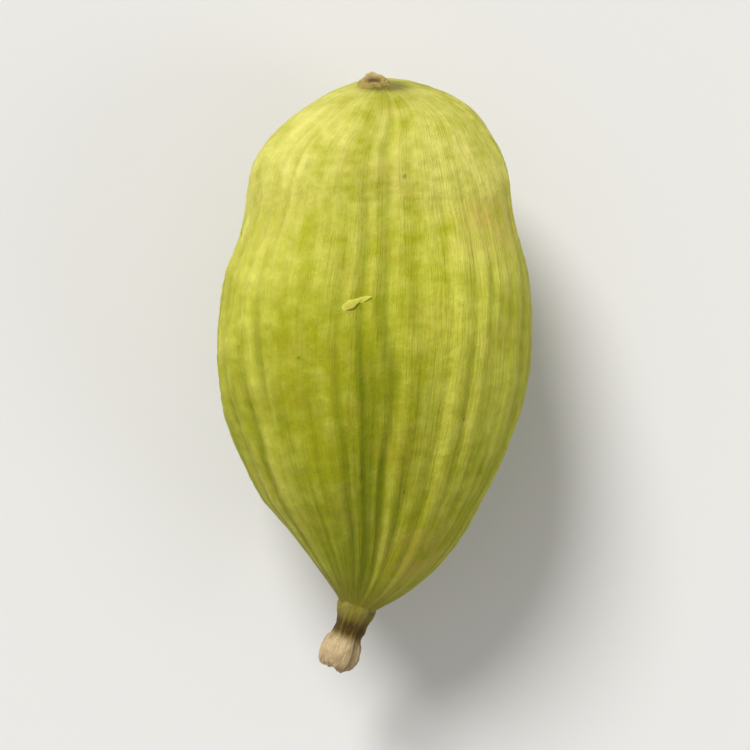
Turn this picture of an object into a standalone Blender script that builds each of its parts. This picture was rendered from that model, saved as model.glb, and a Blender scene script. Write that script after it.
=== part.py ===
"""A dried green cardamom pod, lying on its belly.

It is one closed piece, as it grew: a lobed, ribbed husk with the broken stub of its stalk at one end and
the withered scar of its flower at the other. Metres, +Z up. The pod lies along Y with the flower scar
towards +Y, and rests on a small flat spot at Z = 0. The origin is under the middle of its bounding box.
"""

import math

import bmesh
import bpy
import numpy as np
from mathutils import Matrix, Vector

# Driving sizes of the pod
HUSK_LENGTH = 0.0150
HUSK_WIDTH = 0.0089
HUSK_DEPTH = 0.0083
STALK_LENGTH = 0.0019
STALK_RADIUS = 0.00054
SCAR_RADIUS = 0.00042
SCAR_HEIGHT = 0.00025
BELLY_CUT = 0.00030

# Outline of the husk, as shares of its length counted from the flower end
WIDEST_AT = 0.46
FLOWER_END_POWER = 2.3
STALK_END_POWER = 0.70
SHOULDER_AT = 0.26
SHOULDER_SPAN = 0.10
SHOULDER_PINCH = 0.085

# Cross-section of the husk, as shares of its radius: rounded lobes and a shallow furrow in each face
LOBES = 3
LOBE_HEIGHT = 0.050
LOBE_TURN = math.radians(32)
FURROW_DEPTH = 0.030
FURROW_SHARPNESS = 8

# Uneven forms, as waves: height, waves in a turn, shift from end to end of the husk, and shift
BULGES = ((0.012, 2, 9.0, 0.6), (0.010, 5, -14.0, 2.1))
LUMPS = ((0.07, 3, 0.0, 1.0), (0.05, 5, 0.0, 2.0))
RAGGED_END = ((0.04, 2, 0.0, 0.7),)
RIB_SPACING = ((0.035, 4, 0.0, 0.5), (0.018, 9, 0.0, 1.1))
RIB_STRENGTH = ((0.24, 5, 0.0, 1.0), (0.16, 13, 0.0, 2.3))

# Ribs: veins that run from end to end, and a thin keel along each lobe
RIBS = 36
COLUMNS_PER_RIB = 4
RIB_HEIGHT = 0.00008
RIB_SHARPNESS = 2
MEAN_RIB_STRENGTH = 0.60
RIB_FADE_RADIUS = 0.0034
RIB_FADE_POWER = 1.6
KEEL_TURNS = (math.radians(62), math.radians(188), math.radians(305))
KEEL_HEIGHT = 0.00008
KEEL_SPAN = math.radians(4)

# The neck and stalk lean to -X, the flower end tips up, and its half of the husk stands out to +X
STALK_LEAN = math.radians(22)
LEAN_START = 0.0120
LEAN_LENGTH = 0.0036
FLOWER_TIP = math.radians(21)
TIP_LENGTH = 0.0042
HALF_SHIFT = 0.00020
HALF_SHIFT_FROM = 0.0040
HALF_SHIFT_TO = 0.0080
SHOULDER_SHIFT = 0.00024
SHOULDER_SHIFT_AT = 0.00045
SHOULDER_SHIFT_SPAN = 0.00075

# The flower scar, as shares of its height and radius: a pit, the rim, and the foot. It is worn on top.
SCAR_OUTLINE = ((0.30, 0.35), (0.85, 0.55), (1.00, 0.78), (0.60, 0.96), (-0.05, 1.10))
SCAR_WORN = 0.55

# The stalk past the husk, as shares of its length and radius: a shrunken neck, then the broken knob
STALK_OUTLINE = ((0.10, 1.00), (0.30, 0.84), (0.48, 0.92), (0.72, 1.08), (0.92, 0.98), (1.00, 0.60))
STALK_HOLLOW = 0.97

# Rows of points along the husk, the reach that counts as lying on the cut, and the angle of a sharp edge
HUSK_ROWS = 28
CUT_REACH = 1e-7
SHARP_ANGLE = math.radians(62)

HUSK_COLOUR = (0.42, 0.43, 0.06, 1.0)
HUSK_ROUGHNESS = 0.62


def clear_scene():
    """Removes the startup objects."""
    for obj in list(bpy.data.objects):
        bpy.data.objects.remove(obj)


def husk_swell(share):
    """Radius of the husk as a share of its widest, at a share of its length from the flower end.

    The flower end is half a blunt ellipse, drawn in at the shoulder. The stalk end is a cosine raised to a
    power, which tapers to the neck.
    """
    to_flower = np.clip(1 - share / WIDEST_AT, 0, 1)
    flower_end = (1 - to_flower**FLOWER_END_POWER) ** (1 / FLOWER_END_POWER)
    shoulder = SHOULDER_PINCH * np.exp(-(((share - SHOULDER_AT) / SHOULDER_SPAN) ** 2))
    to_neck = np.clip((share - WIDEST_AT) / (1 - WIDEST_AT), 0, 1)
    stalk_end = np.clip(np.cos(to_neck * math.pi / 2), 0, 1) ** STALK_END_POWER
    return np.where(share < WIDEST_AT, flower_end, stalk_end) - shoulder


def waves(table, around, share=0.0):
    """Sum of the waves in a table, round the pod and along the husk."""
    rise = 0.0
    for height, count, drift, shift in table:
        rise = rise + height * np.sin(count * around + drift * share + shift)
    return rise


def meridian():
    """Rows from the flower scar to the broken stalk: distance past the flower end, radius, and how far the
    husk's lobes and ribs show there."""
    scar = [(-height * SCAR_HEIGHT, radius * SCAR_RADIUS, 0) for height, radius in SCAR_OUTLINE]
    husk = []
    for row in range(1, HUSK_ROWS + 1):
        share = (1 - math.cos(math.pi * (row + 1) / (HUSK_ROWS + 2))) / 2
        swollen = float(husk_swell(share)) * HUSK_WIDTH / 2
        radius = math.hypot(swollen, STALK_RADIUS)
        husk.append((share * HUSK_LENGTH, radius, swollen / radius))
    stalk = [
        (HUSK_LENGTH + share * STALK_LENGTH, radius * STALK_RADIUS, 0) for share, radius in STALK_OUTLINE
    ]
    return scar + husk + stalk


def section(around, share, husky):
    """Radius factor round the section: lobes, a furrow along the middle of each face, and slow bulges. The
    scar and the stalk have lumps instead."""
    face_phase = LOBES * (around - LOBE_TURN)
    lobes = LOBE_HEIGHT * np.cos(face_phase)
    furrows = FURROW_DEPTH * ((1 - np.cos(face_phase)) / 2) ** FURROW_SHARPNESS
    swelling = lobes - furrows + waves(BULGES, around, share)
    return 1 + husky * swelling + (1 - husky) * waves(LUMPS, around)


def rib_rise(around):
    """Height of the ribs, a thin crest every turn / RIBS, some stronger than others. The keels rise above
    them."""
    crest = ((1 + np.cos(RIBS * around)) / 2) ** RIB_SHARPNESS
    rise = RIB_HEIGHT * (MEAN_RIB_STRENGTH + waves(RIB_STRENGTH, around)) * crest
    for keel in KEEL_TURNS:
        away = (around - keel + math.pi) % (2 * math.pi) - math.pi
        rise += KEEL_HEIGHT * np.exp(-((away / KEEL_SPAN) ** 2))
    return rise


def bend(aside, ahead, start, length, full_angle):
    """Bends what lies ahead of start towards +aside: an arc of that length, and straight past it."""
    past = np.clip(ahead - start, 0, None)
    in_arc = np.clip(past, 0, length)
    angle = full_angle * in_arc / length
    straight = past - in_arc
    arc_radius = length / full_angle
    middle_aside = arc_radius * (1 - np.cos(angle)) + straight * np.sin(angle)
    middle_ahead = start + arc_radius * np.sin(angle) + straight * np.cos(angle)
    return (
        np.where(past > 0, middle_aside + aside * np.cos(angle), aside),
        np.where(past > 0, middle_ahead - aside * np.sin(angle), ahead),
    )


def pod_points(row, around):
    """Places each point by its row on the meridian and its angle round the pod."""
    rows = np.array([(0, 0, 0), *meridian(), (HUSK_LENGTH + STALK_HOLLOW * STALK_LENGTH, 0, 0)])
    along, radius, husky = rows[row].T
    share = np.clip(along / HUSK_LENGTH, 0, 1)
    # The ribs are evenly spaced in around, and their gaps differ in turned
    turned = around + waves(RIB_SPACING, around)
    reach = radius * section(turned, share, husky)
    reach += rib_rise(around) * husky * np.clip(radius / RIB_FADE_RADIUS, 0, 1) ** RIB_FADE_POWER
    to_half = np.clip((along - HALF_SHIFT_FROM) / (HALF_SHIFT_TO - HALF_SHIFT_FROM), 0, 1)
    shifted = HALF_SHIFT * np.cos(to_half * math.pi / 2) ** 2
    shifted += SHOULDER_SHIFT * np.exp(-(((along - SHOULDER_SHIFT_AT) / SHOULDER_SHIFT_SPAN) ** 2))
    shifted *= husky
    x = reach * np.cos(turned) + shifted
    z = reach * np.sin(turned) * (1 + husky * (HUSK_DEPTH / HUSK_WIDTH - 1))
    on_stalk = np.clip((along - HUSK_LENGTH) / STALK_LENGTH, 0, 1)
    worn = SCAR_WORN * np.clip(np.sin(turned), 0, 1) * (along < 0)
    past = along * (1 - worn) + STALK_LENGTH * on_stalk * waves(RAGGED_END, turned)
    left, past = bend(-x, past, LEAN_START, LEAN_LENGTH, STALK_LEAN)
    z, y = bend(z, -past, -TIP_LENGTH, TIP_LENGTH, FLOWER_TIP)
    return np.stack([-left, y, z], axis=1)


def pod_mesh():
    """A sphere whose rows and columns are moved to the pod's surface, then cut flat under the belly."""
    rows = len(meridian()) + 1
    bm = bmesh.new()
    bmesh.ops.create_uvsphere(bm, u_segments=RIBS * COLUMNS_PER_RIB, v_segments=rows, radius=1)
    on_sphere = np.array([vert.co for vert in bm.verts])
    row = np.rint(np.arccos(np.clip(on_sphere[:, 2], -1, 1)) / math.pi * rows).astype(int)
    around = np.arctan2(on_sphere[:, 1], on_sphere[:, 0])
    placed = pod_points(row, around)
    for vert, point in zip(bm.verts, placed):
        vert.co = point
    lowest = placed[:, 2].min()
    belly = bmesh.ops.bisect_plane(
        bm,
        geom=bm.verts[:] + bm.edges[:] + bm.faces[:],
        dist=CUT_REACH,
        plane_co=(0, 0, lowest + BELLY_CUT),
        plane_no=(0, 0, -1),
        clear_outer=True,
    )
    rim = [cut for cut in belly["geom_cut"] if isinstance(cut, bmesh.types.BMEdge)]
    bmesh.ops.contextual_create(bm, geom=rim)
    bmesh.ops.recalc_face_normals(bm, faces=bm.faces)
    mesh = bpy.data.meshes.new("pod")
    bm.to_mesh(mesh)
    bm.free()
    return mesh


def centre_on_base(mesh):
    """Moves the mesh so that the origin is under the middle of its bounding box."""
    points = np.array([vert.co for vert in mesh.vertices])
    low, high = points.min(axis=0), points.max(axis=0)
    middle = Vector(((low[0] + high[0]) / 2, (low[1] + high[1]) / 2, low[2]))
    mesh.transform(Matrix.Translation(-middle))


def husk_material():
    """Dry, papery yellow-green husk."""
    material = bpy.data.materials.new("husk")
    material.use_nodes = True
    shader = material.node_tree.nodes["Principled BSDF"]
    shader.inputs["Base Color"].default_value = HUSK_COLOUR
    shader.inputs["Roughness"].default_value = HUSK_ROUGHNESS
    shader.inputs["Metallic"].default_value = 0.0
    return material


def main():
    clear_scene()
    collection = bpy.data.collections.new("cardamom_pod")
    bpy.context.scene.collection.children.link(collection)
    mesh = pod_mesh()
    centre_on_base(mesh)
    mesh.shade_smooth()
    mesh.set_sharp_from_angle(angle=SHARP_ANGLE)
    mesh.materials.append(husk_material())
    collection.objects.link(bpy.data.objects.new("pod", mesh))


main()
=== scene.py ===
import math

import bpy
import numpy as np
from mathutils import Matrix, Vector


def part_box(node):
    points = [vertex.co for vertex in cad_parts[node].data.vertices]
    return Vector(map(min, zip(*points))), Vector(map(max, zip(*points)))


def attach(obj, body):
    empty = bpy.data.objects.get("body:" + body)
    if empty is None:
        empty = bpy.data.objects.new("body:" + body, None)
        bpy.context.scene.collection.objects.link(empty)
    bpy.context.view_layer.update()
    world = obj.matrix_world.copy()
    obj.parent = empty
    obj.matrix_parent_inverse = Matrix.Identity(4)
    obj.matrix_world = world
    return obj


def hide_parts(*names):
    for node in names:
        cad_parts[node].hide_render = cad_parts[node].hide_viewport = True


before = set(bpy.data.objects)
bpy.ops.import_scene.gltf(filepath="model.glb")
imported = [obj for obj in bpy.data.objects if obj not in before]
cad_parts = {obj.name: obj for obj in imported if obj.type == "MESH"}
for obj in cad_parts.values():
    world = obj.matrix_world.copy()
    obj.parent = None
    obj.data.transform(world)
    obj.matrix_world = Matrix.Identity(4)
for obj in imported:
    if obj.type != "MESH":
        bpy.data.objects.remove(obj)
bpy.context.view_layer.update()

# Husk
# The dry, papery capsule of the pod: three rounded lobes, a furrow in each face and veins that run from the
# flower end to the stalk. It grew as one closed skin, and shrank and puckered a little as it dried.
TURN = 2 * math.pi
pod_low, pod_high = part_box("pod")
pod_length = pod_high[1] - pod_low[1]
HUSK_LENGTH = 0.8735 * pod_length
HUSK_RADIUS = 0.2591 * pod_length
HUSK_FLATNESS = 0.9326
NECK_RADIUS = 0.03144 * pod_length
BELLY_EDGE = 0.00004

WIDEST_AT = 0.46
FLOWER_END_POWER = 2.3
STALK_END_POWER = 0.70
SHOULDER_AT = 0.26
SHOULDER_SPAN = 0.10
SHOULDER_PINCH = 0.085
# shares of the length where a form sets in. In each such pair it starts at the first and is full at the
# second.
SHOULDER_SETS_IN = (0.0, 0.1)
NECK_SETS_IN = (0.5, 0.9)

LOBES = 3
LOBE_HEIGHT = 0.050
LOBE_TURN = math.radians(32)
FURROW_DEPTH = 0.030
FURROW_SHARPNESS = 8
# uneven forms, as waves: height, waves in a turn, shift from end to end of the husk, and shift
BULGES = ((0.012, 2, 9.0, 0.6), (0.010, 5, -14.0, 2.1))
VEIN_SPACING = ((0.035, 4, 0.0, 0.5), (0.018, 9, 0.0, 1.1))
VEIN_STRENGTH = ((0.24, 5, 0.0, 1.0), (0.16, 13, 0.0, 2.3))
# uneven forms, as soft noise: height, cells in a turn, cells along the husk, and seed
DENTS = ((0.008, 11, 8, 23), (0.008, 19, 14, 24))
VEIN_WANDER = ((0.045, 13, 5, 21), (0.010, 40, 18, 22))
PUCKERS = ((1.0, 72, 80, 25), (0.6, 140, 130, 26))

VEINS = 36
VEIN_HEIGHT = 0.000075
VEIN_WIDTH = 0.22
MEAN_VEIN_STRENGTH = 0.55
OWN_VEIN_STRENGTH = 0.42
LEAST_VEIN = 0.1
MOST_VEIN = 1.2
CELLS_ALONG_VEIN = 5
VEIN_SEED = 11
FINE_VEIN_HEIGHT = 0.000030
FINE_VEIN_WIDTH = 0.14
CELLS_ALONG_FINE_VEIN = 7
FINE_VEIN_SEED = 12
# angle round the pod, strength, and the share of the husk's length where each keel sets in
KEELS = (
    (math.radians(62), 1.0, 0.16),
    (math.radians(188), 1.0, 0.16),
    (math.radians(305), 1.0, 0.16),
    (math.radians(136), 0.6, 0.55),
)
KEEL_HEIGHT = 0.000075
KEEL_SPAN = math.radians(2.8)
KEEL_RISE = 0.14
VEIN_FADE_RADIUS = 0.0034
VEIN_FADE_POWER = 1.2
PUCKER_HEIGHT = 0.000014
PINCHES = 14
PINCH_DEPTH = 0.00004
PINCH_AT = 0.014
PINCH_SHIFT = 1.5
PINCHES_SET_IN = (0.0, 0.006)

STALK_LEAN = math.radians(22)
LEAN_START = 0.0120
LEAN_LENGTH = 0.0036
FLOWER_TIP = math.radians(21)
TIP_LENGTH = 0.0042
HALF_SHIFT = 0.00020
HALF_SHIFT_FROM = 0.0040
HALF_SHIFT_TO = 0.0080
SHOULDER_SHIFT = 0.00024
SHOULDER_SHIFT_AT = 0.00045
SHOULDER_SHIFT_SPAN = 0.00075

HUSK_ROWS = 250
HUSK_COLUMNS = 396

HUSK_OLIVE = (0.385, 0.388, 0.011, 1)
HUSK_PALE = (0.655, 0.645, 0.095, 1)
HUSK_STRAW = (0.735, 0.690, 0.165, 1)
HUSK_GREEN = (0.160, 0.185, 0.002, 1)
HUSK_TAN = (0.450, 0.300, 0.055, 1)
HUSK_BROWN = (0.095, 0.050, 0.008, 1)
HUSK_END = (0.280, 0.245, 0.024, 1)

# how strongly main veins, fine veins and keels show in the colour, and the power that narrows a main vein
VEIN_TONES = (0.75, 0.35, 0.8)
VEIN_TONE_POWER = 1.5
# steps to the grid points that a hollow is measured against, and its depth where its painted shade is full
HOLLOW_REACH = (4, 8)
HOLLOW_DEPTH = 0.00005
# tan patches: place across the pod (1 is its right edge) and half width, share of its length and half length,
# strength, and the heights (1 is the top) between which a patch sets in
TAN_PATCHES = (
    (0.75, 0.20, 0.27, 0.055, 1.0, -0.6, 0.0),
    (-0.74, 0.14, 0.27, 0.050, 0.5, -0.6, 0.0),
    (0.60, 0.35, 0.89, 0.050, 1.0, -0.2, 0.5),
    (-0.40, 0.40, 0.35, 0.120, 1.0, -0.1, -0.7),
)
# the dark ring round the scar and the fainter stain above it: strength, and the share of the length in
# which it fades
RING_STAIN = (1.0, 0.0035)
WIDE_STAIN = (0.28, 0.010)
# where the middle furrow's green spreads widest along the husk, and how far
GREEN_SPREAD_AT = 0.80
GREEN_SPREAD_SPAN = 0.09
GREEN_SPREAD = 0.55
# the furrows' green: its least strength, at the flower end, and the shares of the length where it sets in
LEAST_GREEN = 0.35
GREEN_SETS_IN = (0.15, 0.60)
# how far the fibres' pattern runs in the husk's length, against once round it
HUSK_GRAIN_RUN = 0.22


def soft_noise(around, along, cells_around, cells_along, seed):
    """Random heights from -1 to 1 on a lattice that closes round the pod, joined by smooth steps."""
    lattice = np.random.default_rng(seed).uniform(-1, 1, (cells_along + 2, cells_around))
    across = (around / TURN % 1) * cells_around
    down = np.clip(along, 0, 1) * cells_along
    column, row = np.floor(across).astype(int), np.floor(down).astype(int)
    right, below = across - column, down - row
    right, below = right**2 * (3 - 2 * right), below**2 * (3 - 2 * below)
    column, following = column % cells_around, (column + 1) % cells_around
    upper = lattice[row, column] * (1 - right) + lattice[row, following] * right
    lower = lattice[row + 1, column] * (1 - right) + lattice[row + 1, following] * right
    return upper * (1 - below) + lower * below


def smooth_rise(value, start, end):
    """0 on the near side of start, 1 past end, and a smooth step between them. end may be the lower one."""
    share = np.clip((value - start) / (end - start), 0, 1)
    return share**2 * (3 - 2 * share)


def waves(table, around, share=0.0):
    """Sum of the waves in a table, round the pod and along the husk."""
    rise = 0.0
    for height, count, drift, shift in table:
        rise = rise + height * np.sin(count * around + drift * share + shift)
    return rise


def soft_noises(table, around, share):
    """Sum of the soft noises in a table, round the pod and along the husk."""
    return sum(height * soft_noise(around, share, *cells) for height, *cells in table)


def husk_swell(share):
    """Radius of the husk as a share of its widest, at a share of its length from the flower end.

    The flower end is half a blunt ellipse, drawn in at the shoulder. The stalk end is a cosine raised to a
    power, which tapers to the neck.
    """
    to_flower = np.clip(1 - share / WIDEST_AT, 0, 1)
    flower_end = (1 - to_flower**FLOWER_END_POWER) ** (1 / FLOWER_END_POWER)
    shoulder = SHOULDER_PINCH * np.exp(-(((share - SHOULDER_AT) / SHOULDER_SPAN) ** 2))
    to_neck = np.clip((share - WIDEST_AT) / (1 - WIDEST_AT), 0, 1)
    stalk_end = np.clip(np.cos(to_neck * math.pi / 2), 0, 1) ** STALK_END_POWER
    shoulder = shoulder * smooth_rise(share, *SHOULDER_SETS_IN)
    return np.where(share < WIDEST_AT, flower_end, stalk_end) - shoulder


def vein_crests(around, share):
    """Main veins, fine veins and keels, each from 0 to 1. A main vein is a narrow hump every turn / VEINS,
    with a strength of its own that comes and goes along the pod. Fine veins run beside them."""
    order = VEINS * around / TURN
    own = soft_noise(np.rint(order) / VEINS * TURN, share, VEINS, CELLS_ALONG_VEIN, VEIN_SEED)
    strength = MEAN_VEIN_STRENGTH + waves(VEIN_STRENGTH, around) + OWN_VEIN_STRENGTH * own
    strength = np.clip(strength, LEAST_VEIN, MOST_VEIN)
    main = strength * np.exp(-(((order - np.rint(order)) / VEIN_WIDTH) ** 2))
    doubled = 2 * order + 0.5
    nearest = np.rint(doubled) / (2 * VEINS) * TURN
    own = soft_noise(nearest, share, 2 * VEINS, CELLS_ALONG_FINE_VEIN, FINE_VEIN_SEED)
    fine = (1 + own) / 2 * np.exp(-(((doubled - np.rint(doubled)) / (2 * FINE_VEIN_WIDTH)) ** 2))
    keel = np.zeros_like(around)
    for turn, strong, sets_in in KEELS:
        away = (around - turn + math.pi) % TURN - math.pi
        risen = smooth_rise(share, sets_in, sets_in + KEEL_RISE)
        keel += strong * risen * np.exp(-((away / KEEL_SPAN) ** 2))
    return main, fine, keel


def face_furrow(around):
    """1 along the middle of each of the three faces, and 0 on the lobes."""
    return ((1 - np.cos(LOBES * (around - LOBE_TURN))) / 2) ** FURROW_SHARPNESS


def bend(aside, ahead, start, length, full_angle):
    """Bends what lies ahead of start towards +aside: an arc of that length, and straight past it."""
    past = np.clip(ahead - start, 0, None)
    in_arc = np.clip(past, 0, length)
    angle = full_angle * in_arc / length
    straight = past - in_arc
    arc_radius = length / full_angle
    middle_aside = arc_radius * (1 - np.cos(angle)) + straight * np.sin(angle)
    middle_ahead = start + arc_radius * np.sin(angle) + straight * np.cos(angle)
    return (
        np.where(past > 0, middle_aside + aside * np.cos(angle), aside),
        np.where(past > 0, middle_ahead - aside * np.sin(angle), ahead),
    )


def grown(along, across, up):
    """Points past the flower end, across and above the pod's middle line. The line leans to -X at the
    stalk, and tips up at the flower end."""
    left, past = bend(-across, along, LEAN_START, LEAN_LENGTH, STALK_LEAN)
    up, ahead = bend(up, -past, -TIP_LENGTH, TIP_LENGTH, FLOWER_TIP)
    return np.stack([-left, ahead, up], axis=-1)


def husk_surface(around, share):
    """The husk at an angle round it and a share of its length: the swell, times lobes, furrows, slow bulges
    and dents, plus the veins and the fine puckers between them. Gives the points, the strength of the
    veins, each point's true angle, and its reach from the middle line."""
    swollen = husk_swell(share) * HUSK_RADIUS
    radius = np.hypot(swollen, NECK_RADIUS * smooth_rise(share, *NECK_SETS_IN))
    husky = swollen / np.maximum(radius, 1e-9)
    turned = around + waves(VEIN_SPACING, around)
    lobes = LOBE_HEIGHT * np.cos(LOBES * (turned - LOBE_TURN))
    furrows = FURROW_DEPTH * face_furrow(turned)
    bulges = waves(BULGES, turned, share) + soft_noises(DENTS, turned, share)
    main, fine, keel = vein_crests(around + soft_noises(VEIN_WANDER, around, share), share)
    puckers = soft_noises(PUCKERS, around, share)
    fade = np.clip(radius / VEIN_FADE_RADIUS, 0, 1) ** VEIN_FADE_POWER
    relief = VEIN_HEIGHT * main + FINE_VEIN_HEIGHT * fine + KEEL_HEIGHT * keel + PUCKER_HEIGHT * puckers
    pinched = np.exp(-(((share - PINCH_AT) / PINCH_AT) ** 2))
    pinch = PINCH_DEPTH * pinched * np.cos(PINCHES * turned + PINCH_SHIFT)
    reach = radius * (1 + husky * (lobes - furrows + bulges))
    reach = reach + husky * (fade * relief + pinch * smooth_rise(share, *PINCHES_SET_IN))
    past = share * HUSK_LENGTH
    to_half = np.clip((past - HALF_SHIFT_FROM) / (HALF_SHIFT_TO - HALF_SHIFT_FROM), 0, 1)
    shifted = HALF_SHIFT * np.cos(to_half * math.pi / 2) ** 2
    shifted = shifted + SHOULDER_SHIFT * np.exp(-(((past - SHOULDER_SHIFT_AT) / SHOULDER_SHIFT_SPAN) ** 2))
    shifted = shifted * swollen / np.hypot(swollen, NECK_RADIUS)
    flatness = 1 + husky * (HUSK_FLATNESS - 1)
    points = grown(past, reach * np.cos(turned) + shifted, reach * np.sin(turned) * flatness)
    main_tone, fine_tone, keel_tone = VEIN_TONES
    tone = main_tone * main**VEIN_TONE_POWER + fine_tone * fine + keel_tone * keel
    return points, np.clip(tone, 0, 1), turned, reach


husk_around, husk_share = np.meshgrid(
    np.arange(HUSK_COLUMNS) / HUSK_COLUMNS * TURN,
    (1 - np.cos(math.pi * (np.arange(HUSK_ROWS) + 1) / (HUSK_ROWS + 0.5))) / 2,
)
husk_rings, husk_veins, husk_turned, husk_reach = husk_surface(husk_around, husk_share)
husk_least = husk_rings.min(axis=(0, 1))
husk_most = husk_rings.max(axis=(0, 1))

# The flower scar, made further down, is the pod's furthest point, and its rim meets the end of the box.
SCAR_HEIGHT = 0.01456 * pod_length
SCAR_RADIUS = 0.02446 * pod_length
SCAR_RIM_AT = 0.65
scar_rim = grown(np.array([-SCAR_HEIGHT]), np.array([0.0]), np.array([-SCAR_RIM_AT * SCAR_RADIUS]))
to_frame = np.array(
    [
        (pod_low[0] + pod_high[0] - husk_least[0] - husk_most[0]) / 2,
        pod_high[1] - scar_rim[0, 1],
        pod_high[2] - husk_most[2],
    ]
)


def settled(points):
    """Moves grown points to the pod's place in the frame, and presses the belly level where it rests."""
    placed = points + to_frame
    height = placed[..., 2] - pod_low[2]
    placed[..., 2] = pod_low[2] + (height + np.sqrt(height**2 + BELLY_EDGE**2)) / 2
    return placed


def shell_mesh(name, shells, values=None):
    """A piece of closed shells, made of rings of points. Each ring is joined to the next, and each end is
    drawn to its middle. Rings turn so that the faces look outwards, and the UV map runs round and along.

    values holds an array for each named attribute: a number or vector for each point of each shell.
    """
    points, faces, corners, counts = [], [], [], []
    start = 0
    for rings in shells:
        rows, columns = rings.shape[:2]
        row, column = np.meshgrid(np.arange(rows - 1), np.arange(columns), indexing="ij")
        here, beside = row * columns + column, row * columns + (column + 1) % columns
        quads = np.stack([here, beside, beside + columns, here + columns], axis=-1).reshape(-1, 4)
        edge = np.arange(columns)
        ahead = (edge + 1) % columns
        first, last = np.full(columns, rows * columns), np.full(columns, rows * columns + 1)
        far = (rows - 1) * columns
        first_cap = np.stack([first, ahead, edge], axis=-1)
        last_cap = np.stack([far + edge, far + ahead, last], axis=-1)
        for group in (quads, first_cap, last_cap):
            faces += (group + start).tolist()
        u, v = column / columns, (row + 1) / (rows + 1)
        right, below = u + 1 / columns, v + 1 / (rows + 1)
        corners.append(np.stack([u, v, right, v, right, below, u, below], axis=-1).ravel())
        left, middle, right = edge / columns, (edge + 0.5) / columns, (edge + 1) / columns
        top, bottom = np.full(columns, 1 / (rows + 1)), np.full(columns, rows / (rows + 1))
        corners.append(np.stack([middle, 0 * top, right, top, left, top], axis=-1).ravel())
        corners.append(np.stack([left, bottom, right, bottom, middle, 0 * top + 1], axis=-1).ravel())
        points += [rings.reshape(-1, 3), rings[[0, -1]].mean(axis=1)]
        counts.append((rows, columns))
        start += rows * columns + 2
    mesh = bpy.data.meshes.new(name)
    mesh.from_pydata(np.concatenate(points).tolist(), [], faces)
    mesh.uv_layers.new(name="round_and_along").data.foreach_set("uv", np.concatenate(corners))
    for label, per_shell in (values or {}).items():
        flat = []
        for (rows, columns), value in zip(counts, per_shell):
            grid = value.reshape(rows, columns, -1)
            flat += [grid.reshape(rows * columns, -1), grid[[0, -1]].mean(axis=1)]
        flat = np.concatenate(flat)
        kind, field = ("FLOAT", "value") if flat.shape[1] == 1 else ("FLOAT_VECTOR", "vector")
        mesh.attributes.new(label, kind, "POINT").data.foreach_set(field, flat.ravel())
    mesh.shade_smooth()
    piece = bpy.data.objects.new(name, mesh)
    bpy.context.scene.collection.objects.link(piece)
    return piece


def grain_place(around, run):
    """Where a point lies in the fibres' pattern: on a circle round the piece, and by its run along it."""
    return np.stack([np.cos(around), np.sin(around), run], axis=-1)


def add_node(tree, kind, inputs=None, **settings):
    """A shader node with its settings, and each named input linked to a socket or set to a value."""
    node = tree.nodes.new(kind)
    for setting, value in settings.items():
        setattr(node, setting, value)
    for key, value in (inputs or {}).items():
        if isinstance(value, bpy.types.NodeSocket):
            tree.links.new(value, node.inputs[key])
        else:
            node.inputs[key].default_value = value
    return node


def mixed(tree, share, first, second):
    """The colour between first and second, at a share from 0 to 1."""
    return add_node(tree, "ShaderNodeMix", {0: share, 6: first, 7: second}, data_type="RGBA").outputs[2]


def mapped(tree, value, low, high, to_low=0.0, to_high=1.0):
    """The value carried from low..high to to_low..to_high, and kept between them."""
    ends = {"Value": value, "From Min": low, "From Max": high, "To Min": to_low, "To Max": to_high}
    return add_node(tree, "ShaderNodeMapRange", ends, clamp=True).outputs["Result"]


def times(tree, first, second):
    return add_node(tree, "ShaderNodeMath", {0: first, 1: second}, operation="MULTIPLY").outputs[0]


def total(tree, *values):
    """The sum of several numbers."""
    result = values[0]
    for value in values[1:]:
        result = add_node(tree, "ShaderNodeMath", {0: result, 1: value}, operation="ADD").outputs[0]
    return result


def attribute_of(tree, name, output="Fac"):
    return add_node(tree, "ShaderNodeAttribute", attribute_name=name).outputs[output]


def noise_of(tree, place, scale, detail=3.0, roughness=0.55):
    settings = {"Vector": place, "Scale": scale, "Detail": detail, "Roughness": roughness}
    return add_node(tree, "ShaderNodeTexNoise", settings).outputs["Fac"]


def new_group(name, inputs, outputs):
    """An empty shader node group with its named inputs and outputs, and its two end nodes."""
    group = bpy.data.node_groups.new(name, "ShaderNodeTree")
    for label, kind in inputs:
        group.interface.new_socket(label, in_out="INPUT", socket_type=kind)
    for label in outputs:
        group.interface.new_socket(label, in_out="OUTPUT", socket_type="NodeSocketFloat")
    return group, group.nodes.new("NodeGroupInput"), group.nodes.new("NodeGroupOutput")


def new_material(name, roughness=0.5):
    """A material, its node tree and its Principled shader, whose roughness is set or left to a link."""
    material = bpy.data.materials.new(name)
    material.use_nodes = True
    shader = material.node_tree.nodes["Principled BSDF"]
    shader.inputs["Roughness"].default_value = roughness
    return material, material.node_tree, shader


def finish_piece(piece, material):
    """Gives a new piece its material, and lets it stand for the pod's solid, which it rides with."""
    piece.data.materials.append(material)
    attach(piece, "root")
    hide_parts("pod")


# Fibres of dry plant skin: soft streaks along the piece, and finer ones between them.
plant_fibre, given, made = new_group(
    "plant_fibre",
    [("Vector", "NodeSocketVector"), ("Scale", "NodeSocketFloat")],
    ["Streak", "Fine Streak"],
)
coarse_fibre = noise_of(plant_fibre, given.outputs["Vector"], given.outputs["Scale"], 3.0, 0.6)
finer_scale = times(plant_fibre, given.outputs["Scale"], 3.2)
fine_fibre = noise_of(plant_fibre, given.outputs["Vector"], finer_scale, 4.0, 0.65)
plant_fibre.links.new(mapped(plant_fibre, coarse_fibre, 0.32, 0.68), made.inputs["Streak"])
plant_fibre.links.new(mapped(plant_fibre, fine_fibre, 0.30, 0.70), made.inputs["Fine Streak"])

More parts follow.
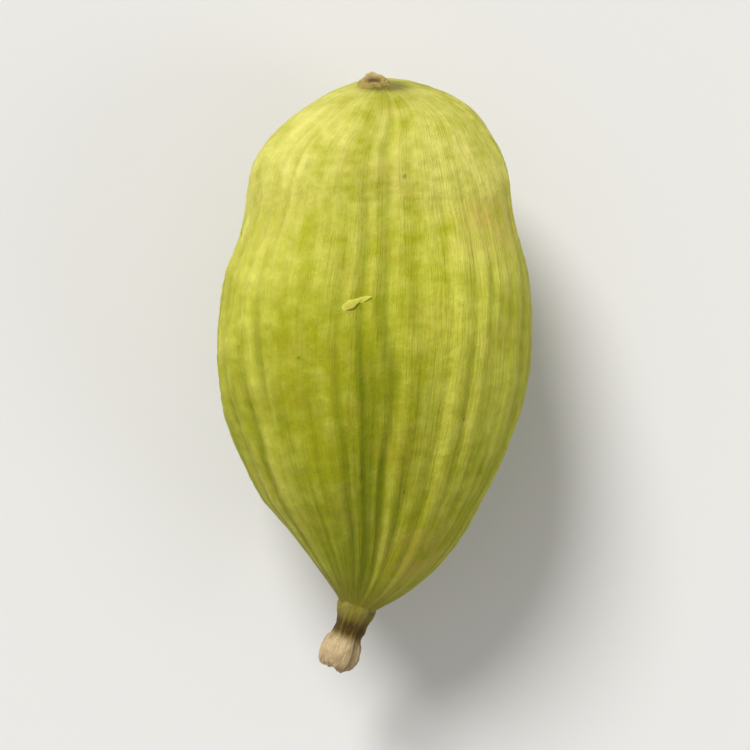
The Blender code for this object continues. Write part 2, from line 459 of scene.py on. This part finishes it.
# Blemishes of drying: worn patches with soft edges, and a few small dark specks, mostly in the patches.
dry_blemish, given, made = new_group(
    "dry_blemish",
    [("Vector", "NodeSocketVector"), ("Scale", "NodeSocketFloat")],
    ["Patch", "Speck"],
)
worn_noise = noise_of(dry_blemish, given.outputs["Vector"], given.outputs["Scale"], 4.0)
speck_cells = add_node(
    dry_blemish,
    "ShaderNodeTexVoronoi",
    {"Vector": given.outputs["Vector"], "Scale": times(dry_blemish, given.outputs["Scale"], 2.7)},
)
speck_lot = add_node(dry_blemish, "ShaderNodeSeparateColor", {"Color": speck_cells.outputs["Color"]})
few_cells = mapped(dry_blemish, speck_lot.outputs[0], 0.86, 0.88)
speck_chance = times(dry_blemish, few_cells, mapped(dry_blemish, worn_noise, 0.50, 0.58))
speck_heart = mapped(dry_blemish, speck_cells.outputs["Distance"], 0.08, 0.20, 1.0, 0.0)
dry_blemish.links.new(mapped(dry_blemish, worn_noise, 0.50, 0.66), made.inputs["Patch"])
dry_blemish.links.new(times(dry_blemish, speck_chance, speck_heart), made.inputs["Speck"])

husk_side, husk_top = np.cos(husk_turned), np.sin(husk_turned)
# painted shade: the hollows of the relief, from 0 to 1, where the skin is drawn darker green as if in shade
nearby = sum(np.roll(husk_reach, step * way, axis=1) for step in HOLLOW_REACH for way in (-1, 1))
husk_hollow_shade = np.clip((nearby / (2 * len(HOLLOW_REACH)) - husk_reach) / HOLLOW_DEPTH, 0, 1)
husk_tan = np.zeros_like(husk_share)
for side, half_width, share, half_length, strength, hidden, full in TAN_PATCHES:
    patch = np.exp(-(((husk_side - side) / half_width) ** 2) - ((husk_share - share) / half_length) ** 2)
    husk_tan += strength * patch * smooth_rise(husk_top, hidden, full)
ring_stain, wide_stain = (
    strength * np.exp(-((husk_share / fades_in) ** 2)) for strength, fades_in in (RING_STAIN, WIDE_STAIN)
)
husk_stain = ring_stain * (0.7 + 0.3 * husk_top) + wide_stain * smooth_rise(husk_top, -0.2, 0.9)
green_spread = GREEN_SPREAD * np.exp(-(((husk_share - GREEN_SPREAD_AT) / GREEN_SPREAD_SPAN) ** 2))
husk_furrow = face_furrow(husk_turned) ** (1 - green_spread)
husk_furrow = husk_furrow * (LEAST_GREEN + (1 - LEAST_GREEN) * smooth_rise(husk_share, *GREEN_SETS_IN))

husk = shell_mesh(
    "husk",
    [settled(husk_rings)],
    {
        "vein": [husk_veins],
        "hollow": [husk_hollow_shade],
        "furrow": [husk_furrow],
        "lobe": [np.cos(LOBES * (husk_turned - LOBE_TURN))],
        "tan": [np.clip(husk_tan, 0, 1)],
        "stain": [np.clip(husk_stain, 0, 1)],
        "along": [husk_share],
        "grain": [grain_place(husk_turned, HUSK_GRAIN_RUN * husk_share)],
    },
)

husk_skin, tree, skin = new_material("husk_skin")
place = add_node(tree, "ShaderNodeTexCoord").outputs["Object"]
grain = attribute_of(tree, "grain", "Vector")
fibre = add_node(tree, "ShaderNodeGroup", {"Vector": grain, "Scale": 18.0}, node_tree=plant_fibre)
blemish = add_node(tree, "ShaderNodeGroup", {"Vector": place, "Scale": 900.0}, node_tree=dry_blemish)
streak, fine_streak = fibre.outputs["Streak"], fibre.outputs["Fine Streak"]
vein, along = attribute_of(tree, "vein"), attribute_of(tree, "along")
mottle = noise_of(tree, place, 330.0)
long_grain = add_node(tree, "ShaderNodeMapping", {"Vector": grain, "Scale": (1.0, 1.0, 4.0)}).outputs[0]
patchy = noise_of(tree, long_grain, 5.0, 2.0)
fleck = noise_of(tree, place, 1700.0, 4.0, 0.6)
paleness = total(
    tree,
    # paler towards the flower end and darker towards the stalk, and a little darker at the very tip: partly
    # the pod's own tone, partly painted light, which falls from the flower end
    mapped(tree, along, 0.15, 0.60, 0.52, 0.16),
    mapped(tree, along, 0.60, 0.95, 0.0, -0.14),
    mapped(tree, along, 0.0, 0.14, -0.16, 0.0),
    mapped(tree, attribute_of(tree, "lobe"), -1.0, 1.0, -0.14, 0.14),
    mapped(tree, mottle, 0.3, 0.7, -0.24, 0.24),
    mapped(tree, patchy, 0.3, 0.7, -0.24, 0.24),
    mapped(tree, fleck, 0.3, 0.7, -0.34, 0.34),
    times(tree, vein, mapped(tree, along, 0.1, 0.6, 0.12, 0.25)),
    times(tree, fine_streak, 0.16),
)
# straw yellow towards the flower end: partly the pod's own tone, partly painted light
pale_skin = mixed(tree, mapped(tree, along, 0.15, 0.45, 1.0, 0.0), HUSK_PALE, HUSK_STRAW)
colour = mixed(tree, mapped(tree, paleness, 0.0, 1.0), HUSK_OLIVE, pale_skin)
in_streaks = times(tree, mapped(tree, along, 0.15, 1.0, 0.10, 0.50), streak)
greenness = total(
    tree,
    in_streaks,
    times(tree, attribute_of(tree, "furrow"), 0.46),
    # painted shade in the hollows of the relief, stronger towards the stalk end
    times(tree, attribute_of(tree, "hollow"), mapped(tree, along, 0.1, 0.6, 0.08, 0.26)),
    mapped(tree, patchy, 0.55, 0.7, 0.0, 0.14),
    # greener and darker towards the stalk: partly the pod's own tone, partly painted shade
    mapped(tree, along, 0.45, 1.0, 0.0, 0.30),
)
greenness = times(tree, greenness, mapped(tree, vein, 0.0, 0.6, 1.0, 0.2))
colour = mixed(tree, mapped(tree, greenness, 0.0, 1.0), colour, HUSK_GREEN)
tanned = times(tree, attribute_of(tree, "tan"), mapped(tree, fleck, 0.35, 0.6))
colour = mixed(tree, times(tree, tanned, 0.65), colour, HUSK_TAN)
colour = mixed(tree, times(tree, blemish.outputs["Patch"], 0.15), colour, HUSK_TAN)
colour = mixed(tree, times(tree, blemish.outputs["Speck"], 0.45), colour, HUSK_BROWN)
colour = mixed(tree, mapped(tree, along, 0.93, 0.99, 0.0, 0.85), colour, HUSK_END)
uneven_stain = times(tree, attribute_of(tree, "stain"), mapped(tree, streak, 0.0, 1.0, 0.7, 1.3))
colour = mixed(tree, mapped(tree, uneven_stain, 0.15, 0.9, 0.0, 0.7), colour, HUSK_BROWN)
tree.links.new(colour, skin.inputs["Base Color"])
gloss = mapped(tree, total(tree, vein, fine_streak, fleck), 0.5, 2.0, 0.68, 0.42)
tree.links.new(gloss, skin.inputs["Roughness"])
pitting = noise_of(tree, place, 8000.0, 3.0, 0.6)
skin_relief = total(
    tree,
    times(tree, fine_streak, 0.8),
    times(tree, pitting, 0.45),
    times(tree, streak, 0.4),
    times(tree, fleck, 1.2),
)
bump = add_node(tree, "ShaderNodeBump", {"Strength": 0.7, "Distance": 0.00006, "Height": skin_relief})
tree.links.new(bump.outputs["Normal"], skin.inputs["Normal"])
skin.inputs["Specular IOR Level"].default_value = 0.12
skin.inputs["Subsurface Weight"].default_value = 0.08
skin.inputs["Subsurface Radius"].default_value = (1.0, 0.9, 0.2)
skin.inputs["Subsurface Scale"].default_value = 0.0003
finish_piece(husk, husk_skin)

# Stalk stub
# The short end of stalk that the pod was snapped off with: a brown, shrunken neck where it leaves the husk,
# then a rounded knob of pale, fibrous pith. It grows out of the husk.
STUB_LENGTH = 0.11064 * pod_length
STUB_ROWS = 130
STUB_COLUMNS = 120
STUB_FIBRES = ((0.020, 11, 3.0, 1.6), (0.014, 23, -4.0, 2.6))
STUB_LUMPS = ((0.05, 3, 0.0, 1.0), (0.035, 5, 0.0, 2.0))
STUB_SMALL_LUMPS = ((0.05, 9, 12, 31), (0.03, 24, 26, 32))
STUB_RAGGED = ((0.030, 2, 0.0, 0.7),)
STUB_TORN = ((0.028, 14, 12, 33), (0.022, 36, 30, 34))
STUB_FLUTES = ((0.035, 6, 0.0, math.pi / 2), (0.015, 9, 0.0, 0.4))
# steps along the stub where fibres, lumps, flutes and the torn edge set in, and where the flutes end
FIBRES_SET_IN = (0.2, 0.5)
LUMPS_SET_IN = (0.10, 0.35)
FLUTES_SET_IN = (0.04, 0.14)
FLUTES_END = (0.55, 0.35)
TORN_SETS_IN = (0.60, 0.85)
# where the colours lie: the dark neck and the cream knob by distance past the husk, the browned side by
# angle round the stub and by its cosine, and the broken end by steps along it
NECK_AT = 0.34
NECK_SPAN = 0.17
KNOB_SETS_IN = (0.40, 0.54)
BROWN_SIDE = 0.3
BROWN_SETS_IN = (0.35, 0.95)
BROKEN_SETS_IN = (0.80, 0.95)
# height from a flute's hollow to its crest over which its colour changes
FLUTE_SPAN = 0.06
STUB_GRAIN_RUN = 0.5
# distance past the husk as a share of the stub's length, and radius as a share of the neck's
STUB_OUTLINE = (
    (-0.40, 0.70),
    (-0.18, 0.92),
    (0.00, 1.02),
    (0.10, 0.98),
    (0.20, 0.87),
    (0.30, 0.80),
    (0.40, 0.79),
    (0.49, 0.83),
    (0.57, 0.92),
    (0.66, 1.02),
    (0.76, 1.06),
    (0.86, 1.00),
    (0.94, 0.81),
    (0.98, 0.56),
    (0.975, 0.34),
    (0.955, 0.16),
    (0.95, 0.02),
)
STUB_CREAM = (0.700, 0.525, 0.285, 1)
STUB_RIB = (0.310, 0.275, 0.055, 1)
STUB_BROWN = (0.088, 0.045, 0.006, 1)


def flowing(stations, step):
    """A smooth curve through evenly spaced stations, at a step from 0 to 1: a cubic between each two, with
    slopes taken from the neighbours."""
    stations = np.asarray(stations)
    slopes = np.gradient(stations)
    reach = step * (len(stations) - 1)
    before = np.clip(np.floor(reach).astype(int), 0, len(stations) - 2)
    part = reach - before
    start = stations[before] * (1 + 2 * part) * (1 - part) ** 2 + slopes[before] * part * (1 - part) ** 2
    end = stations[before + 1] * part**2 * (3 - 2 * part) - slopes[before + 1] * part**2 * (1 - part)
    return start + end


def stub_surface(around, step):
    """The stub from inside the neck (step 0), over the knob, to the hollow in the broken end (step 1). Its
    outline turns round the middle line, with fibres, lumps and a torn edge."""
    distance = flowing([station[0] for station in STUB_OUTLINE], step)
    radius = flowing([station[1] for station in STUB_OUTLINE], step)
    fibres = waves(STUB_FIBRES, around, step) * smooth_rise(step, *FIBRES_SET_IN)
    lumps = waves(STUB_LUMPS, around) + soft_noises(STUB_SMALL_LUMPS, around, step)
    lumps = lumps * smooth_rise(step, *LUMPS_SET_IN)
    flutes = waves(STUB_FLUTES, around) * smooth_rise(step, *FLUTES_SET_IN)
    flutes = flutes * smooth_rise(step, *FLUTES_END)
    reach = NECK_RADIUS * radius * (1 + fibres + lumps + flutes)
    torn = waves(STUB_RAGGED, around) + soft_noises(STUB_TORN, around, step)
    past = HUSK_LENGTH + STUB_LENGTH * (distance + torn * smooth_rise(step, *TORN_SETS_IN))
    return grown(past, reach * np.cos(around), reach * np.sin(around))


stub_around, stub_step = np.meshgrid(
    np.arange(STUB_COLUMNS) / STUB_COLUMNS * TURN, np.arange(STUB_ROWS) / STUB_ROWS
)
stub_past = flowing([station[0] for station in STUB_OUTLINE], stub_step)
stub_neck = np.exp(-(((stub_past - NECK_AT) / NECK_SPAN) ** 2))
stub_flute = np.clip(0.5 + waves(STUB_FLUTES, stub_around) / FLUTE_SPAN, 0, 1)
stalk_stub = shell_mesh(
    "stalk_stub",
    [settled(stub_surface(stub_around, stub_step))],
    {
        "neck": [stub_neck],
        "flute": [stub_flute],
        "knob": [smooth_rise(stub_past, *KNOB_SETS_IN)],
        "browned": [smooth_rise(np.cos(stub_around - BROWN_SIDE), *BROWN_SETS_IN)],
        "broken": [smooth_rise(stub_step, *BROKEN_SETS_IN)],
        "grain": [grain_place(stub_around, STUB_GRAIN_RUN * stub_step)],
    },
)

stalk_bark, tree, bark = new_material("stalk_bark")
place = add_node(tree, "ShaderNodeTexCoord").outputs["Object"]
grain = attribute_of(tree, "grain", "Vector")
fibre = add_node(tree, "ShaderNodeGroup", {"Vector": grain, "Scale": 5.0}, node_tree=plant_fibre)
blemish = add_node(tree, "ShaderNodeGroup", {"Vector": place, "Scale": 2600.0}, node_tree=dry_blemish)
fluted = mixed(tree, attribute_of(tree, "flute"), HUSK_END, STUB_RIB)
colour = mixed(tree, attribute_of(tree, "knob"), fluted, STUB_CREAM)
in_brown = total(tree, attribute_of(tree, "browned"), fibre.outputs["Streak"])
colour = mixed(tree, mapped(tree, in_brown, 0.0, 2.0, 0.0, 0.52), colour, STUB_BROWN)
neck_streaks = mapped(tree, fibre.outputs["Streak"], 0.0, 1.0, 0.6, 1.25)
uneven_neck = times(tree, attribute_of(tree, "neck"), neck_streaks)
colour = mixed(tree, mapped(tree, uneven_neck, 0.1, 0.9), colour, STUB_BROWN)
colour = mixed(tree, times(tree, blemish.outputs["Patch"], 0.30), colour, STUB_BROWN)
colour = mixed(tree, times(tree, attribute_of(tree, "broken"), 0.7), colour, STUB_BROWN)
tree.links.new(colour, bark.inputs["Base Color"])
tree.links.new(mapped(tree, fibre.outputs["Fine Streak"], 0.0, 1.0, 0.85, 0.62), bark.inputs["Roughness"])
stub_relief = total(tree, fibre.outputs["Fine Streak"], times(tree, noise_of(tree, place, 9000.0), 0.6))
bump = add_node(tree, "ShaderNodeBump", {"Strength": 0.8, "Distance": 0.00005, "Height": stub_relief})
tree.links.new(bump.outputs["Normal"], bark.inputs["Normal"])
bark.inputs["Specular IOR Level"].default_value = 0.2
finish_piece(stalk_stub, stalk_bark)

# Stalk fibres
# Torn strands of pith that stand out round the edge of the break. Each is a flat, tapering strand that
# grows from the knob's outer edge and curls a little.
STRANDS = 11
STRAND_LENGTH = 0.00013
STRAND_WIDTH = 0.00004
STRAND_ROWS = 9
STRAND_COLUMNS = 8
STRAND_SUNK = 0.00008
# least and most of what is drawn for each strand: shift round the edge, length, outward curl, step of the
# stub's surface that it grows from, sideways curl, and width
STRAND_SHIFT = (-0.4, 0.4)
STRAND_LENGTHS = (0.4, 1.0)
STRAND_SPLAY = (-0.1, 0.5)
STRAND_ROOT = (0.68, 0.78)
STRAND_CURL = (-1, 1)
STRAND_WIDTHS = (0.6, 1.2)
STRAND_FLATNESS = 0.4
# share of its width that a strand keeps at its tip, squared
STRAND_TIP = 0.02


def blade(middle, side, width, thickness):
    """A closed, flat strand: rings that are ellipses round a middle line, wide along side and thin across
    it. middle and side are rows of vectors, and width and thickness are half sizes row by row."""
    heading = np.gradient(middle, axis=0)
    heading /= np.linalg.norm(heading, axis=1, keepdims=True)
    side = side - heading * (side * heading).sum(axis=1, keepdims=True)
    side /= np.linalg.norm(side, axis=1, keepdims=True)
    across = np.cross(heading, side)
    turn = np.arange(STRAND_COLUMNS) / STRAND_COLUMNS * TURN
    wide = side[:, None] * (width[:, None] * np.cos(turn))[..., None]
    thin = across[:, None] * (thickness[:, None] * np.sin(turn))[..., None]
    return middle[:, None] + wide - thin


strand_draw = np.random.default_rng(41)
strand_step = np.linspace(0, 1, STRAND_ROWS)
strand_taper = np.sqrt(np.clip(1 + STRAND_TIP - strand_step**2, 0, 1))
strands = []
for strand in range(STRANDS):
    turn = TURN * (strand + strand_draw.uniform(*STRAND_SHIFT)) / STRANDS
    long = STRAND_LENGTH * strand_draw.uniform(*STRAND_LENGTHS)
    splay = strand_draw.uniform(*STRAND_SPLAY)
    root_at = strand_draw.uniform(*STRAND_ROOT)
    root = stub_surface(np.full(2, turn), np.array([root_at - 0.02, root_at]))
    onward = (root[1] - root[0]) / np.linalg.norm(root[1] - root[0])
    outward_way = np.array([math.cos(turn), 0.0, math.sin(turn)])
    round_way = np.array([-math.sin(turn), 0.0, math.cos(turn)])
    run = (strand_step * (long + STRAND_SUNK) - STRAND_SUNK)[:, None]
    curl = (long * splay * strand_step**2)[:, None]
    sideways = round_way * curl * strand_draw.uniform(*STRAND_CURL)
    middle = root[1] + onward * run + outward_way * curl + sideways
    width = 0.5 * STRAND_WIDTH * strand_draw.uniform(*STRAND_WIDTHS) * strand_taper
    side = np.tile(round_way, (STRAND_ROWS, 1))
    strands.append(settled(blade(middle, side, width, STRAND_FLATNESS * width)))
stalk_fibres = shell_mesh("stalk_fibres", strands)

strand_pith, tree, pith = new_material("strand_pith", 0.8)
place = add_node(tree, "ShaderNodeTexCoord").outputs["Object"]
blemish = add_node(tree, "ShaderNodeGroup", {"Vector": place, "Scale": 3500.0}, node_tree=dry_blemish)
colour = mixed(tree, times(tree, blemish.outputs["Patch"], 0.7), STUB_CREAM, STUB_BROWN)
tree.links.new(colour, pith.inputs["Base Color"])
finish_piece(stalk_fibres, strand_pith)

# Flower scar
# What is left of the flower at the tip: a small, shrivelled nub, pale tan round a dark brown pit. It dried in
# place on the husk, and is worn down on the upper side, so that the pit opens upwards.
SCAR_ROWS = 110
SCAR_COLUMNS = 120
# height above the flower end as a share of the scar's, and radius as a share of its own
SCAR_OUTLINE = (
    (0.20, 0.02),
    (0.22, 0.17),
    (0.30, 0.32),
    (0.52, 0.43),
    (0.82, 0.53),
    (1.00, SCAR_RIM_AT),
    (0.90, 0.77),
    (0.55, 0.87),
    (0.10, 0.98),
    (-0.35, 1.15),
    (-0.90, 1.30),
)
SCAR_WORN = 0.62
# where the rim sets in by height, the wear and its colour by the sine of the angle, and creases by steps
RIM_SETS_IN = (0.2, 0.9)
WEAR_SETS_IN = (-1.0, 0.5)
WEAR_COLOUR_SETS_IN = (-0.95, 0.0)
CREASES_SET_IN = (0.1, 0.4)
SCAR_CREASES = ((0.06, 9, 3.0, math.pi / 2), (0.07, 3, 0.0, 1.0))
SCAR_FINE_CREASES = ((0.08, 22, 9, 51),)
SCAR_RAGGED = ((0.08, 4, 0.0, 0.8 + math.pi / 2),)
SCAR_TORN = ((0.12, 11, 3, 52),)
SCAR_LOWERED = 0.08
SCAR_GRAIN_RUN = 0.5
SCAR_TAN = (0.700, 0.540, 0.270, 1)
SCAR_BROWN = (0.370, 0.270, 0.050, 1)
SCAR_PIT = (0.130, 0.085, 0.010, 1)


def scar_surface(around, step):
    """From the middle of the pit (step 0), over the rim (step 0.5), down to below the husk's skin (step 1).
    The outline turns round the middle line. The rim is ragged and low on the upper side."""
    height = flowing([station[0] for station in SCAR_OUTLINE], step)
    radius = flowing([station[1] for station in SCAR_OUTLINE], step)
    creases = waves(SCAR_CREASES, around, step) + soft_noises(SCAR_FINE_CREASES, around, step)
    rim = smooth_rise(height, *RIM_SETS_IN)
    ragged = waves(SCAR_RAGGED, around) + soft_noises(SCAR_TORN, around, step) - SCAR_LOWERED
    worn = SCAR_WORN * smooth_rise(np.sin(around), *WEAR_SETS_IN)
    past = -SCAR_HEIGHT * (height - rim * worn + rim * ragged)
    reach = SCAR_RADIUS * radius * (1 + creases * smooth_rise(step, *CREASES_SET_IN))
    return grown(past, reach * np.cos(around), reach * np.sin(around))


scar_around, scar_step = np.meshgrid(
    np.arange(SCAR_COLUMNS) / SCAR_COLUMNS * TURN, (np.arange(SCAR_ROWS) + 1) / (SCAR_ROWS + 1)
)
flower_scar = shell_mesh(
    "flower_scar",
    [settled(scar_surface(scar_around, scar_step))],
    {
        "outward": [scar_step],
        "worn": [smooth_rise(np.sin(scar_around), *WEAR_COLOUR_SETS_IN)],
        "grain": [grain_place(scar_around, SCAR_GRAIN_RUN * scar_step)],
    },
)

scar_crust, tree, crust = new_material("scar_crust", 0.8)
place = add_node(tree, "ShaderNodeTexCoord").outputs["Object"]
grain = attribute_of(tree, "grain", "Vector")
fibre = add_node(tree, "ShaderNodeGroup", {"Vector": grain, "Scale": 4.0}, node_tree=plant_fibre)
blemish = add_node(tree, "ShaderNodeGroup", {"Vector": place, "Scale": 3000.0}, node_tree=dry_blemish)
outward = attribute_of(tree, "outward")
colour = mixed(tree, times(tree, fibre.outputs["Streak"], 0.4), SCAR_TAN, SCAR_BROWN)
colour = mixed(tree, times(tree, attribute_of(tree, "worn"), 0.85), colour, SCAR_BROWN)
colour = mixed(tree, times(tree, blemish.outputs["Patch"], 0.4), colour, SCAR_BROWN)
colour = mixed(tree, mapped(tree, outward, 0.20, 0.42, 1.0, 0.0), colour, SCAR_PIT)
colour = mixed(tree, mapped(tree, outward, 0.70, 0.90, 0.0, 0.8), colour, SCAR_BROWN)
tree.links.new(colour, crust.inputs["Base Color"])
bump = add_node(
    tree, "ShaderNodeBump", {"Strength": 0.7, "Distance": 0.00004, "Height": fibre.outputs["Fine Streak"]}
)
tree.links.new(bump.outputs["Normal"], crust.inputs["Normal"])
finish_piece(flower_scar, scar_crust)

# Husk flakes
# Slivers of the husk's thin outer skin that have come loose and curl up, two of them together on the upper
# face. Each is still held to the husk at one end.
FLAKE_ROWS = 24
FLAKE_THICKNESS = 0.000016
FLAKE_CLEARANCE = 0.3 * FLAKE_THICKNESS
FLAKE_CURL_POWER = 1.8
# a flake's outline is a stretch of a sine's hump: where it starts, how long it is, and the power that it is
# raised to. The flake is this many times as wide at its root, and narrows by the second value along it.
FLAKE_HUMP = (0.08, 0.90)
FLAKE_HUMP_POWER = 0.8
FLAKE_NARROWING = (1.2, 0.6)
# its ragged edge: height, waves along it, and shift with its angle round the pod
FLAKE_RAGGED = (0.08, 16, 50)
FLAKE_PALE = (0.575, 0.590, 0.095, 1)
# angle round the pod, share of its length, turn round the pod, run along it, width, lift
FLAKES = (
    (math.radians(101.5), 0.438, -0.130, -0.020, 0.00027, 0.00003),
    (math.radians(96.5), 0.425, -0.110, -0.010, 0.00018, 0.00005),
    (math.radians(20), 0.62, 0.07, 0.022, 0.00008, 0.00005),
    (math.radians(163), 0.30, 0.08, -0.020, 0.00008, 0.00004),
    (math.radians(224), 0.55, -0.08, 0.028, 0.00009, 0.00005),
    (math.radians(318), 0.70, 0.09, -0.018, 0.00008, 0.00005),
)

flake_step = np.linspace(0, 1, FLAKE_ROWS)
hump_start, hump_length = FLAKE_HUMP
flake_hump = np.sin(math.pi * (hump_start + hump_length * flake_step)) ** FLAKE_HUMP_POWER
flake_narrowing = FLAKE_NARROWING[0] - FLAKE_NARROWING[1] * flake_step
ragged_by, ragged_waves, ragged_shift = FLAKE_RAGGED
flakes = []
for turn, share, run_round, run_along, width, lift in FLAKES:
    path_around, path_share = turn + run_round * flake_step, share + run_along * flake_step
    skin_points, _, path_turned, _ = husk_surface(path_around, path_share)
    outward_way = np.stack([np.cos(path_turned), 0 * flake_step, np.sin(path_turned)], axis=-1)
    curl = lift * flake_step**FLAKE_CURL_POWER + FLAKE_CLEARANCE
    middle = skin_points + outward_way * curl[:, None]
    side = np.cross(np.gradient(middle, axis=0), outward_way)
    half = 0.5 * width * flake_hump * flake_narrowing
    half = half * (1 + ragged_by * np.sin(ragged_waves * flake_step + ragged_shift * turn))
    flakes.append(settled(blade(middle, side, half, np.minimum(0.5 * FLAKE_THICKNESS, 0.5 * half))))
husk_flakes = shell_mesh("husk_flakes", flakes)

flake_skin, tree, flake = new_material("flake_skin", 0.6)
place = add_node(tree, "ShaderNodeTexCoord").outputs["Object"]
blemish = add_node(tree, "ShaderNodeGroup", {"Vector": place, "Scale": 3000.0}, node_tree=dry_blemish)
cloudy = mapped(tree, noise_of(tree, place, 7000.0), 0.35, 0.65, 0.0, 0.45)
colour = mixed(tree, cloudy, FLAKE_PALE, HUSK_OLIVE)
colour = mixed(tree, times(tree, blemish.outputs["Patch"], 0.4), colour, HUSK_TAN)
tree.links.new(colour, flake.inputs["Base Color"])
flake.inputs["Specular IOR Level"].default_value = 0.15
finish_piece(husk_flakes, flake_skin)

# Floor
# A plain pale studio floor, wide enough to fill every view.
FLOOR_HALF = 1.5
FLOOR_COLOUR = (0.70, 0.69, 0.67, 1)

floor_mesh = bpy.data.meshes.new("floor")
floor_sides = [(-1, -1), (1, -1), (1, 1), (-1, 1)]
floor_corners = [(x * FLOOR_HALF, y * FLOOR_HALF, pod_low[2]) for x, y in floor_sides]
floor_mesh.from_pydata(floor_corners, [], [(0, 1, 2, 3)])
floor = bpy.data.objects.new("floor", floor_mesh)
bpy.context.scene.collection.objects.link(floor)
floor_paint, tree, paint = new_material("floor_paint", 0.9)
paint.inputs["Base Color"].default_value = FLOOR_COLOUR
floor.data.materials.append(floor_paint)

# Light
# A wide, soft key light from above the flower end and the left, as in the photograph, a weak fill from the
# other side, and a pale surround that is brightest where it meets the floor.
KEY_FROM = Vector((-0.40, 0.78, 0.84))
KEY_STRENGTH = 3.1
FILL_FROM = Vector((0.9, -0.3, 0.7))
FILL_STRENGTH = 0.35
LIGHT_SPREAD = math.radians(24)
SURROUND = (0.98, 0.97, 0.95, 1)
SURROUND_STRENGTH = 0.44
HORIZON_STRENGTH = 0.86
HORIZON_HEIGHT = 0.25

for name, coming_from, strength in (("key", KEY_FROM, KEY_STRENGTH), ("fill", FILL_FROM, FILL_STRENGTH)):
    lamp = bpy.data.lights.new(name, "SUN")
    lamp.energy = strength
    lamp.angle = LIGHT_SPREAD
    lamp_object = bpy.data.objects.new(name, lamp)
    lamp_object.rotation_euler = coming_from.to_track_quat("Z", "Y").to_euler()
    bpy.context.scene.collection.objects.link(lamp_object)
surround = bpy.data.worlds.new("surround")
surround.use_nodes = True
tree = surround.node_tree
sky = tree.nodes["Background"]
sky.inputs["Color"].default_value = SURROUND
way = add_node(tree, "ShaderNodeTexCoord").outputs["Generated"]
upwards = add_node(tree, "ShaderNodeSeparateXYZ", {"Vector": way}).outputs["Z"]
glow = mapped(tree, upwards, 0.0, HORIZON_HEIGHT, HORIZON_STRENGTH, SURROUND_STRENGTH)
tree.links.new(glow, sky.inputs["Strength"])
bpy.context.scene.world = surround
bpy.context.scene.view_settings.view_transform = "Standard"

# Camera
# It looks straight down, because the pod stands flower end up in the photograph and lies down here.
CAMERA_LENS = 120
CAMERA_SENSOR = 36
POD_IN_FRAME = 0.80

camera_data = bpy.data.cameras.new("camera")
camera_data.lens = CAMERA_LENS
camera_data.sensor_width = CAMERA_SENSOR
camera_data.clip_start = 0.001
camera = bpy.data.objects.new("camera", camera_data)
camera.location = (
    (pod_low[0] + pod_high[0]) / 2,
    (pod_low[1] + pod_high[1]) / 2,
    pod_high[2] / 2 + pod_length / POD_IN_FRAME * CAMERA_LENS / CAMERA_SENSOR,
)
bpy.context.scene.collection.objects.link(camera)
bpy.context.scene.camera = camera
